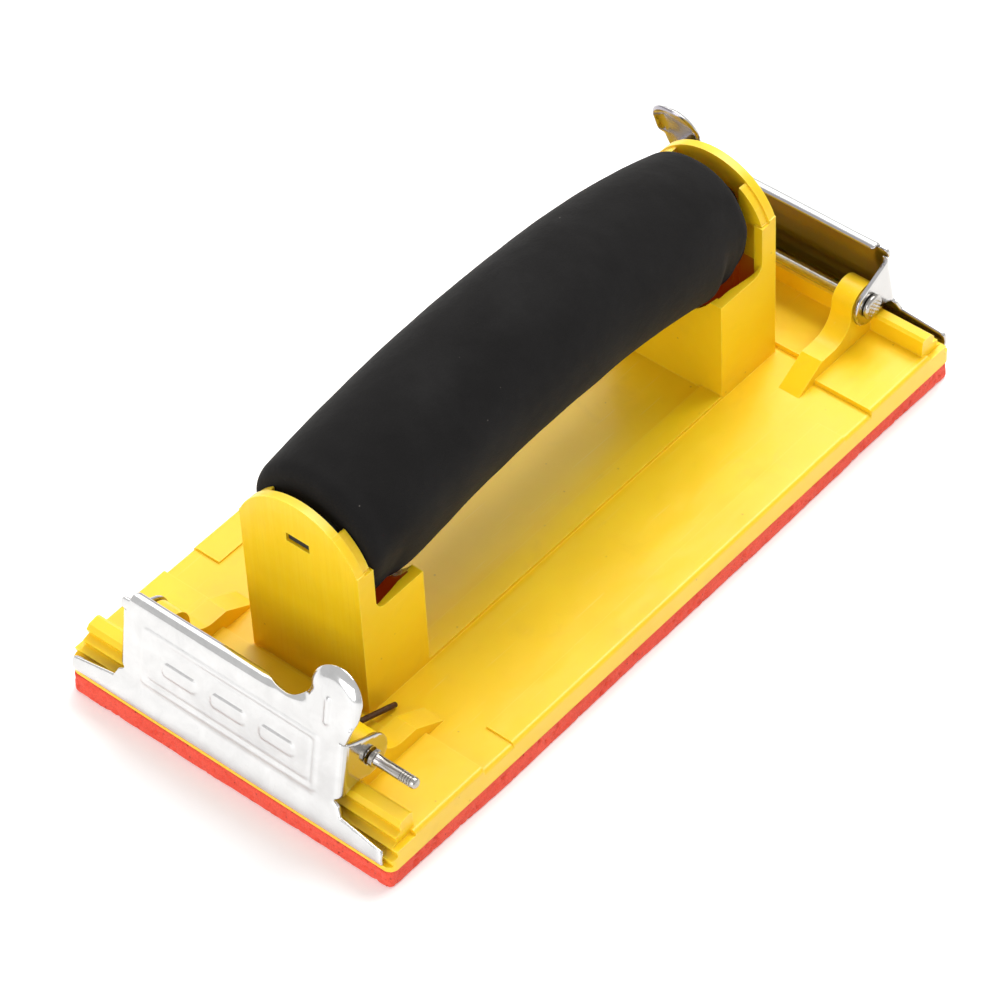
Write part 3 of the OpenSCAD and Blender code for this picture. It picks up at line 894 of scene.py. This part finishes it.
# above the plate: the short hem and the long thumb tab
HEM = [(-99.5, 37.0), (-98.8, 37.8), (-97.7, 37.9), (-96.9, 37.35)]
THUMB = [(-99.5, 37.0), (-98.6, 41.8), (-97.8, 45.6), (-96.6, 49.6), (-95.1, 53.2)]
# below the plate, from its foot
JAW = [(-103.5, 16.2), (-104.95, 12.7), (-105.6, 10.7), (-105.8, 9.3), (-105.4, 8.35),
       (-104.6, 7.97)]


def chaikin(points, times):
    """Cuts the corners of an open line, again and again."""
    points = np.asarray(points, float)
    for _ in range(times):
        cut = [points[0]]
        for a, b in zip(points[:-1], points[1:]):
            cut += [0.75 * a + 0.25 * b, 0.25 * a + 0.75 * b]
        cut.append(points[-1])
        points = np.array(cut)
    return points


def profile(upper):
    """A table of q, x and z along one profile, with q rising."""
    plate = [tuple(TOP + DOWN * PLATE_LEN * t) for t in (0.25, 0.5, 0.75)]
    curve = chaikin(upper[::-1] + plate + JAW, 3)
    run = np.r_[0, np.cumsum(np.linalg.norm(np.diff(curve, axis=0), axis=1))]
    mid = TOP + DOWN * PLATE_MID
    nearest = np.argmin(np.linalg.norm(curve - mid, axis=1))
    start = run[nearest] + (mid - curve[nearest]) @ DOWN - PLATE_MID
    q = -(run - start)
    order = np.argsort(q)
    return q[order], curve[order, 0], curve[order, 1]


HEM_TABLE, THUMB_TABLE = profile(HEM), profile(THUMB)
Q_MIN = max(HEM_TABLE[0][0], THUMB_TABLE[0][0]) + 0.02


def on_profile(q, table):
    """Position and direction, each as x and z, at q; past the top the line runs on straight."""
    qs, xs, zs = table
    extra = np.clip(q - qs[-1], 0, None)
    end_x, end_z = xs[-1] - xs[-2], zs[-1] - zs[-2]
    end_length = math.hypot(end_x, end_z)
    x = np.interp(q, qs, xs) + extra * end_x / end_length
    z = np.interp(q, qs, zs) + extra * end_z / end_length
    d = 0.25
    dx = np.interp(q + d, qs, xs) - np.interp(q - d, qs, xs)
    dz = np.interp(q + d, qs, zs) - np.interp(q - d, qs, zs)
    length = np.hypot(dx, dz) + 1e-12
    return x, z, dx / length, dz / length


def to_blank(x, z):
    """Depth behind the plate, and q, of a point in x and z."""
    p = np.array([x, z]) - TOP
    return p @ INWARD, -(p @ DOWN)


def ear_u(depth):
    """u of a point on an ear at a depth behind the plate."""
    return FOLD_U + BEND * math.pi / 2 + (depth - BEND)


PIN_DEPTH, PIN_Q = to_blank(-PIN_X, PIN_Z)
PIN_U = ear_u(PIN_DEPTH)


def arc(centre_u, centre_q, radius_u, radius_q, start, end, count):
    """Points on an ellipse between two angles in degrees."""
    return [(centre_u + radius_u * math.cos(a), centre_q + radius_q * math.sin(a))
            for a in np.linspace(math.radians(start), math.radians(end), count)]


def ear_outline(side):
    """Points round an ear, from its upper root to its lower root, with no rounding."""
    shoulder_depth, shoulder_q = to_blank(-97.6, 32.3)
    _, root_q = to_blank(-99.9, 33.4)
    points = [(32.45, -2.75), (32.45, -3.25), (33.6, -3.55), (34.9, root_q - 0.35),
              (ear_u(shoulder_depth) - 0.6, shoulder_q + 0.15)]
    points += arc(PIN_U, PIN_Q, EAR_R, EAR_R, 72, -93, 26)
    points += [(PIN_U - 2.4, PIN_Q - EAR_R + 0.25), (39.5, -16.75), (37.2, -17.2),
               (35.2, -18.1), (33.4, -18.95), (32.35, -19.55), (32.35, -20.35)]
    return [(side * u, q, 0.0) for u, q in points]


def clamp_blank():
    """Outline of the flat blank: the jaw below, an ear each side, hem and thumb tab above."""
    # u, q, corner radius
    jaw_side = [(JAW_HALF_W, -25.5, 1.1), (35.0, -23.5, 0.6), (33.95, -21.3, 0.4)]
    hem = [(34.15, -2.55, 0.3), (34.15, -0.1, 1.0), (31.6, 0.0, 0.3), (31.2, 3.0, 0.7),
           (-6.5, 3.0, 0.0)]
    tab_root = [(-36.1, 5.2, 0.0), (-35.0, 0.0, 0.0), (-34.2, -2.55, 0.0)]
    # neck between the hem and the tab, then the tab's round end
    tab = [(-6.5 - 9.2 * t, 3.0 - 1.55 * smoothstep(0, 1, t)) for t in np.linspace(0.1, 1, 9)]
    tab += arc(-15.7, 8.4, 7.0, 7.0, -92, -172, 12)
    tab += arc(-29.5, 8.2, 7.1, 7.2, 2, 172, 34)
    corners = [(-JAW_HALF_W, Q_MIN, 0.9), (JAW_HALF_W, Q_MIN, 0.9), *jaw_side,
               *ear_outline(1)[::-1], *hem, *[(u, q, 0.0) for u, q in tab], *tab_root,
               *ear_outline(-1), *[(-u, q, radius) for u, q, radius in jaw_side[::-1]]]
    return round_corners([(u, q) for u, q, _ in corners], [radius for *_, radius in corners], 5)


def thin_out(points):
    """Drops each point that is nearly the same as an earlier one."""
    size, nearest_sq = 0.3, 0.055
    cells, keep = {}, []
    for i, (u, q) in enumerate(points):
        cu, cq = int(u // size), int(q // size)
        around = [j for du in (-1, 0, 1) for dq in (-1, 0, 1)
                  for j in cells.get((cu + du, cq + dq), ())]
        if any((points[j][0] - u) ** 2 + (points[j][1] - q) ** 2 < nearest_sq for j in around):
            continue
        cells.setdefault((cu, cq), []).append(i)
        keep.append(i)
    return points[keep]


def blank_points(outline, holes):
    """Points inside the blank: a coarse grid, with finer ones where the sheet has shape."""
    grid = grid_points(np.arange(-48, 50, 0.95), np.arange(-31, 17, 0.95), stagger=0.475)
    panel = grid_points(np.arange(-28.5, 28.6, 0.45), np.arange(-21.2, -3.6, 0.45))
    bead = grid_points(np.arange(-37.5, -22.5, 0.5), np.arange(-4, 16, 0.5))
    folds = np.array([(side * u, q) for u in np.arange(FOLD_U - 0.4, FOLD_U + 3.2, 0.4)
                      for q in np.arange(-20.5, -1.5, 0.8) for side in (1, -1)])
    hem = grid_points(np.arange(-21.5, 31.5, 0.9), np.arange(-1.2, 3.0, 0.35))
    jaw = grid_points(np.arange(-47.5, 47.6, 0.95), np.arange(-30.5, -24.8, 0.35))
    # clear the coarse grid where the finer points go
    u, q = grid[:, 0], grid[:, 1]
    finer = (np.abs(u) < 29) & (q > -21.6) & (q < -3.3)
    finer |= (u > -38) & (u < -22) & (q > -4.5) & (q < 16)
    finer |= (np.abs(np.abs(u) - FOLD_U - 1.4) < 2.0) & (q > -20.8) & (q < -1.2)
    finer |= (q > -1.6) & (q < 3.2) & (u > -22)
    finer |= q < -24.9
    points = np.vstack([grid[~finer], panel, bead, folds, hem, jaw])
    clear = inside(points, outline) & (edge_distance(points, outline) > 0.3)
    for hole in holes:
        clear &= ~inside(points, hole) & (edge_distance(points, hole) > 0.25)
    return thin_out(points[clear])


def bend_blank(blank, outline):
    """Mid surface of the bent sheet, its inward x and z before folding, and the unfolded part."""
    u, q = blank[:, 0], blank[:, 1]
    # the profile is blended from the hem's to the tab's
    tab_share = 1 - smoothstep(-17.5, -7.0, u)
    x, z, run_x, run_z = (hem * (1 - tab_share) + thumb * tab_share for hem, thumb
                          in zip(on_profile(q, HEM_TABLE), on_profile(q, THUMB_TABLE)))
    length = np.hypot(run_x, run_z)
    in_x, in_z = run_z / length, -run_x / length
    # the ears fold back past FOLD_U, but only between their roots
    fold = smoothstep(-20.3, -19.6, q) * (1 - smoothstep(-3.25, -2.75, q))
    over = np.clip(np.abs(u) - FOLD_U, 0, None)
    angle = np.minimum(over / BEND, math.pi / 2)
    past = np.clip(over - BEND * math.pi / 2, 0, None)
    folded_y = FOLD_U + BEND * np.sin(angle)
    y = np.where(over > 0, np.abs(u) * (1 - fold) + folded_y * fold, np.abs(u))
    depth = np.where(over > 0, (BEND * (1 - np.cos(angle)) + past) * fold, 0)
    # rolled rim round the tab, and its shallow dish
    rim = edge_distance(blank, outline)
    tab = smoothstep(0.5, 4.5, q) * (1 - smoothstep(-16.5, -12.5, u))
    roll = 1.25 * np.clip(1 - rim / 2.6, 0, 1) ** 2 * tab
    dish = 0.35 * np.clip(1 - rim / 7.0, 0, 1) ** 2 * tab
    # slight waviness, except on the ears
    wave = np.array([noise.noise(Vector((a * 0.045, b * 0.06, 1.7))) for a, b in blank])
    wave = wave * 0.10 * (1 - fold * (over > 0))
    inward = depth + roll + dish + wave
    middle = np.stack([x + in_x * inward, np.sign(u) * y, z + in_z * inward], 1)
    return middle, in_x, in_z, over == 0


def emboss(blank):
    """How far the outer face stands out: a bordered panel, three bars and the tab's bead."""
    u, q = blank[:, 0], blank[:, 1]
    panel_q = -12.6

    def slab(centre_u, half_u, half_q, radius, soft):
        du = np.abs(u - centre_u) - (half_u - radius)
        dq = np.abs(q - panel_q) - (half_q - radius)
        distance = (np.hypot(np.clip(du, 0, None), np.clip(dq, 0, None))
                    + np.minimum(np.maximum(du, dq), 0) - radius)
        return 1 - smoothstep(-soft, soft, distance)

    out = 0.30 * slab(0, half_u=27.0, half_q=8.3, radius=1.2, soft=0.32)
    out -= 0.22 * (slab(0, half_u=25.6, half_q=6.9, radius=0.8, soft=0.3)
                   - slab(0, half_u=24.6, half_q=5.9, radius=0.8, soft=0.3))
    for bar_u in (-15.0, 0.0, 15.0):
        out += 0.38 * slab(bar_u, half_u=5.2, half_q=2.0, radius=1.3, soft=0.34)
    beyond = np.clip(np.abs(q - 4.2) - 3.2, 0, None)
    out += 0.55 * (1 - smoothstep(0.15, 1.15, np.hypot(u + 28.6, beyond)))
    return out * (np.abs(u) < 33)


def vertex_normals(points, triangles):
    corners = [points[triangles[:, i]] for i in range(3)]
    face_normals = np.cross(corners[1] - corners[0], corners[2] - corners[0])
    normals = np.zeros_like(points)
    for i in range(3):
        np.add.at(normals, triangles[:, i], face_normals)
    return normals / (np.linalg.norm(normals, axis=1)[:, None] + 1e-12)


def thicken(middle, normals, triangles, out):
    """Vertices and faces of the sheet: outer face, inner face and a rounded rim between."""
    half = SHEET / 2
    rim_inset, rim_reach = 0.12, 0.30
    rim_angles = (50, 18, -18, -50)   # from the outer face to the inner
    # border edges, each with the direction that points off the sheet
    opposite = {}
    for t in triangles:
        for i in range(3):
            opposite[(t[i], t[(i + 1) % 3])] = t[(i + 2) % 3]
    border = [(i, j, k) for (i, j), k in opposite.items() if (j, i) not in opposite]
    off = np.zeros_like(middle)
    for i, j, k in border:
        away = np.cross(middle[j] - middle[i], normals[i] + normals[j])
        away /= np.linalg.norm(away) + 1e-12
        if away @ (middle[k] - middle[i]) > 0:
            away = -away
        off[i] += away
        off[j] += away
    length = np.linalg.norm(off, axis=1)
    off /= np.where(length > 1e-9, length, 1)[:, None]
    count = len(middle)
    rim = np.array(sorted({i for edge in border for i in edge[:2]}))
    rim_place = {i: k for k, i in enumerate(rim)}
    parts = [middle + normals * (half + out)[:, None] - off * rim_inset,
             middle - normals * half - off * rim_inset]
    for angle in rim_angles:
        s, c = math.sin(math.radians(angle)), math.cos(math.radians(angle))
        parts.append(middle[rim] + normals[rim] * half * math.copysign(abs(s) ** 0.7, s)
                     + off[rim] * (rim_reach * c - rim_inset))
    faces = [tuple(t) for t in triangles]
    faces += [tuple(i + count for i in t[::-1]) for t in triangles]

    def rim_id(i, row):
        if row == 0:
            return i
        if row == len(rim_angles) + 1:
            return i + count
        return 2 * count + (row - 1) * len(rim) + rim_place[i]

    for i, j, _ in border:
        for row in range(len(rim_angles) + 1):
            faces.append((rim_id(j, row), rim_id(i, row), rim_id(i, row + 1),
                          rim_id(j, row + 1)))
    return np.concatenate(parts), faces


def clamp_sheet(name, turn):
    outline = resample(clamp_blank(), 0.55)
    angles = np.linspace(0, 2 * math.pi, 30, endpoint=False)
    holes = [np.array([(side * PIN_U + radius * math.cos(a), PIN_Q + radius * math.sin(a))
                       for a in angles]) for side, radius in HOLES]
    blank, triangles = triangulate([outline] + holes, blank_points(outline, holes))
    middle, in_x, in_z, flat = bend_blank(blank, outline)
    normals = vertex_normals(middle, triangles)
    # turn the normals to point out of the block
    if (normals[flat, 0] * in_x[flat] + normals[flat, 2] * in_z[flat]).sum() > 0:
        normals, triangles = -normals, triangles[:, ::-1]
    verts, faces = thicken(middle, normals, triangles, emboss(blank))
    ob = make(name, verts, faces, ZINC, turn)
    sharp_by_angle(ob, 58)
    return ob


for name, turn in (("front_clamp", False), ("rear_clamp", True)):
    ob = clamp_sheet(name + "_stamping", turn)
    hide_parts(name)
    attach(ob, name)

# ------------------------------------------------------------------ pins

PIN_R = 1.45
GROOVE_R = 1.24
FREE_END_Y = {False: -48.0, True: -44.2}   # the rear pin, which is turned, is shorter
RIB_COUNT, RIB_PITCH = 5, 0.72
PIN_ANGLES = np.linspace(0, 2 * np.pi, 48, endpoint=False)
HEAD_Y, HEAD_R = 35.45, 3.05               # where the head's domed face starts
# distance from the free end, radius
PIN_TIP = [(0.0, 0.55), (0.06, 0.85), (0.25, 1.15), (0.5, 1.33), (0.7, 1.4)]
# y, radius: from the ribs over the collar at one ear to the head at the other
PIN_BODY = [
    (-38.6, PIN_R), (-36.25, PIN_R), (-36.08, 1.5), (-36.0, 1.75), (-35.98, 2.1), (-35.85, 2.2),
    (-35.0, 2.2), (-34.85, 2.1), (-34.8, 1.8), (-34.75, 1.3), (-34.6, 1.12), (-33.0, 1.12),
    (-32.75, 1.3), (-32.6, PIN_R), (0.0, PIN_R), (33.4, PIN_R), (34.3, PIN_R), (34.33, 1.6),
    (34.35, 2.9), (34.42, 3.15), (34.6, 3.28), (34.8, 3.3), (35.1, 3.3), (35.3, 3.22),
    (HEAD_Y, HEAD_R),
]


def pin_ring(y, radius, relief=0.0):
    """A ring about the pin's axis; relief moves its points along Y."""
    c, s = radius * np.cos(PIN_ANGLES), radius * np.sin(PIN_ANGLES)
    return np.stack([-PIN_X + c, np.full(len(c), y) + relief, PIN_Z + s], 1)


def pin_rivet(name, turn):
    end_y = FREE_END_Y[turn]
    stations = [(end_y + distance, radius) for distance, radius in PIN_TIP]
    y = end_y + 0.9
    for _ in range(RIB_COUNT):
        stations += [(y, PIN_R), (y + 0.32, PIN_R), (y + 0.42, GROOVE_R), (y + 0.62, GROOVE_R),
                     (y + RIB_PITCH, PIN_R)]
        y += RIB_PITCH
    rings = [pin_ring(y, radius) for y, radius in stations + PIN_BODY]
    # domed, knurled face of the rivet head, from its rim to its middle
    for t in np.linspace(0.93, 0.02, 26):
        radius = HEAD_R * t
        c, s = radius * np.cos(PIN_ANGLES), radius * np.sin(PIN_ANGLES)
        knurl = np.minimum(np.abs(np.sin((c + s) * 2.55)), np.abs(np.sin((c - s) * 2.55)))
        relief = 0.16 * (knurl - 0.5) * smoothstep(0.95, 0.75, t)
        rings.append(pin_ring(HEAD_Y + 0.42 * (1 - t ** 2) ** 0.5, radius, relief))
    ob = make(name, *capped_rings(rings), PIN, turn)
    sharp_by_angle(ob, 32)
    return ob


for name, turn in (("front_pin", False), ("rear_pin", True)):
    ob = pin_rivet(name + "_rivet", turn)
    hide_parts(name)
    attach(ob, "block")

# ------------------------------------------------------------------ springs

WIRE_R = 0.62
WIRE_EXTRA = 0.10                       # the wire is drawn this much thicker
COIL_R, COIL_PITCH, COIL_TURNS = 2.5, 1.42, 3
COIL_START_Y = -26.3 + WIRE_R + 0.15
PLATE_ANGLE, BASE_ANGLE = 201.0, 248.0  # where the legs leave the coil, in degrees
# distances of points along each leg from the coil
PLATE_LEG = (10.2, 8, 6, 4, 2.4, 1.2)
BASE_LEG = (1.2, 2.4, 5, 8, 11, 14, 17, 20, 23, 25.2)
# size of the ring, distance from the wire's end
WIRE_END = [(0.35, 0.0), (0.8, 0.06), (0.97, 0.2)]


def spring_line():
    """Centre line of the wire: up the plate's leg to the coil, round it, and down the base's."""
    sweep_angle = 360 * COIL_TURNS + BASE_ANGLE - PLATE_ANGLE
    rise = COIL_PITCH * sweep_angle / 360

    def coil(degrees, y):
        a = math.radians(degrees)
        return np.array([-PIN_X + COIL_R * math.cos(a), y, PIN_Z + COIL_R * math.sin(a)])

    def tangent(degrees):
        a = math.radians(degrees)
        return np.array([math.sin(a), 0, -math.cos(a)])

    plate_end = coil(PLATE_ANGLE, COIL_START_Y)
    base_end = coil(BASE_ANGLE, COIL_START_Y + rise)
    points = [plate_end + d * tangent(PLATE_ANGLE) for d in PLATE_LEG]
    count = 48 * COIL_TURNS
    points += [coil(PLATE_ANGLE + sweep_angle * i / count, COIL_START_Y + rise * i / count)
               for i in range(count + 1)]
    points += [base_end - d * tangent(BASE_ANGLE) for d in BASE_LEG]
    return np.array(points)


def sweep(points, radius, sides=16):
    """Rings of a round wire along a line, with blunt rounded ends."""
    tangents = np.gradient(points, axis=0)
    tangents /= np.linalg.norm(tangents, axis=1)[:, None]
    angles = np.linspace(0, 2 * np.pi, sides, endpoint=False)
    c, s = np.cos(angles)[:, None], np.sin(angles)[:, None]

    def ring(i, size=1.0, shift=0.0):
        u = np.cross(tangents[i], [0, 1, 0])
        u /= np.linalg.norm(u)
        v = np.cross(tangents[i], u)
        return points[i] + tangents[i] * shift + radius * size * (c * u + s * v)

    return ([ring(0, size, inset) for size, inset in WIRE_END]
            + [ring(i) for i in range(1, len(points) - 1)]
            + [ring(-1, size, -inset) for size, inset in WIRE_END[::-1]])


for name, body, turn in (("front_spring", "front_clamp", False),
                         ("rear_spring", "rear_clamp", True)):
    verts, faces = capped_rings(sweep(spring_line(), WIRE_R + WIRE_EXTRA))
    ob = make(name + "_wire", verts, faces, SPRING, turn)
    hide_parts(name)
    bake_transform(ob)

# ------------------------------------------------------------------ CAD parts shown as they are

for name, material in (("pad_adhesive", GLUE), ("grip_core", CORE)):
    part = nodes[name]
    for slot in part.material_slots:
        slot.material = material
    if not part.material_slots:
        part.data.materials.append(material)

# ------------------------------------------------------------------ stage, light and camera

FLOOR_SIDES = 96
FLOOR_RADII = [0.15, 0.4, 0.9, 1.8, 3.2, 5.0]   # metres
FLOOR_DROP = 0.00005                            # keeps the floor clear of the pad


def stage_floor():
    """A flat, pale disc."""
    count = FLOOR_SIDES
    verts = [(0, 0, 0)]
    for radius in FLOOR_RADII:
        for i in range(count):
            a = 2 * math.pi * i / count
            verts.append((radius * math.cos(a), radius * math.sin(a), 0.0))
    faces = [(0, 1 + i, 1 + (i + 1) % count) for i in range(count)]
    for k in range(len(FLOOR_RADII) - 1):
        for i in range(count):
            a, b = 1 + k * count + i, 1 + k * count + (i + 1) % count
            faces.append((a, a + count, b + count, b))
    mesh = bpy.data.meshes.new("stage_floor")
    mesh.from_pydata(verts, [], faces)
    material = bpy.data.materials.new("pale_floor")
    material.use_nodes = True
    inputs = material.node_tree.nodes["Principled BSDF"].inputs
    inputs["Base Color"].default_value = (0.93, 0.93, 0.93, 1)
    inputs["Roughness"].default_value = 0.55
    inputs["Emission Color"].default_value = (1, 1, 1, 1)
    inputs["Emission Strength"].default_value = 0.18
    mesh.materials.append(material)
    ob = link_object("stage_floor", mesh)
    ob.location.z = -FLOOR_DROP


def softbox(name, place, target, size, power, color=(1, 1, 1)):
    light = bpy.data.lights.new(name, "AREA")
    light.shape = "RECTANGLE"
    light.size, light.size_y = size
    light.energy = power
    light.color = color
    ob = link_object(name, light)
    ob.location = place
    ob.rotation_mode = "QUATERNION"
    ob.rotation_quaternion = (Vector(target) - Vector(place)).to_track_quat("-Z", "Y")


def studio_world():
    """A white room, dimmer as a light than it looks in the plated parts."""
    world = bpy.data.worlds.new("studio")
    world.use_nodes = True
    tree = world.node_tree
    background = tree.nodes["Background"]
    background.inputs[0].default_value = (1, 1, 1, 1)
    path = tree.nodes.new("ShaderNodeLightPath")
    strength = tree.nodes.new("ShaderNodeMapRange")
    strength.inputs["To Min"].default_value = 0.50
    strength.inputs["To Max"].default_value = 0.78
    tree.links.new(path.outputs["Is Glossy Ray"], strength.inputs["Value"])
    tree.links.new(strength.outputs[0], background.inputs[1])
    bpy.context.scene.world = world


def add_camera():
    """A long lens that looks down from the front, on the -Y side."""
    place = (-0.5718, -0.5193, 0.8113)
    right = (0.645777, -0.762482, -0.039901)
    up = (0.567941, 0.444771, 0.692547)
    back = (-0.510308, -0.469893, 0.720268)
    data = bpy.data.cameras.new("camera")
    camera = link_object("camera", data)
    rotation = Matrix((right, up, back)).transposed()
    camera.matrix_world = Matrix.Translation(place) @ rotation.to_4x4()
    data.sensor_width = 36
    data.lens = 167.0
    data.clip_start, data.clip_end = 0.05, 20
    bpy.context.scene.camera = camera


stage_floor()
softbox("key_softbox", place=(0.70, 0.0, 1.20), target=(0, 0, 0.03), size=(0.9, 0.9), power=16.0,
        color=(1.0, 0.99, 0.97))
softbox("fill_softbox", place=(-1.45, -0.15, 0.60), target=(0, 0, 0.03), size=(1.3, 0.9),
        power=11.0, color=(0.985, 0.99, 1.0))
softbox("back_softbox", place=(0.95, 0.90, 1.35), target=(0, 0, 0.04), size=(1.8, 1.4),
        power=11.0)
studio_world()
view = bpy.context.scene.view_settings
view.view_transform = "Standard"
view.look = "None"
view.exposure = 0.0
add_camera()
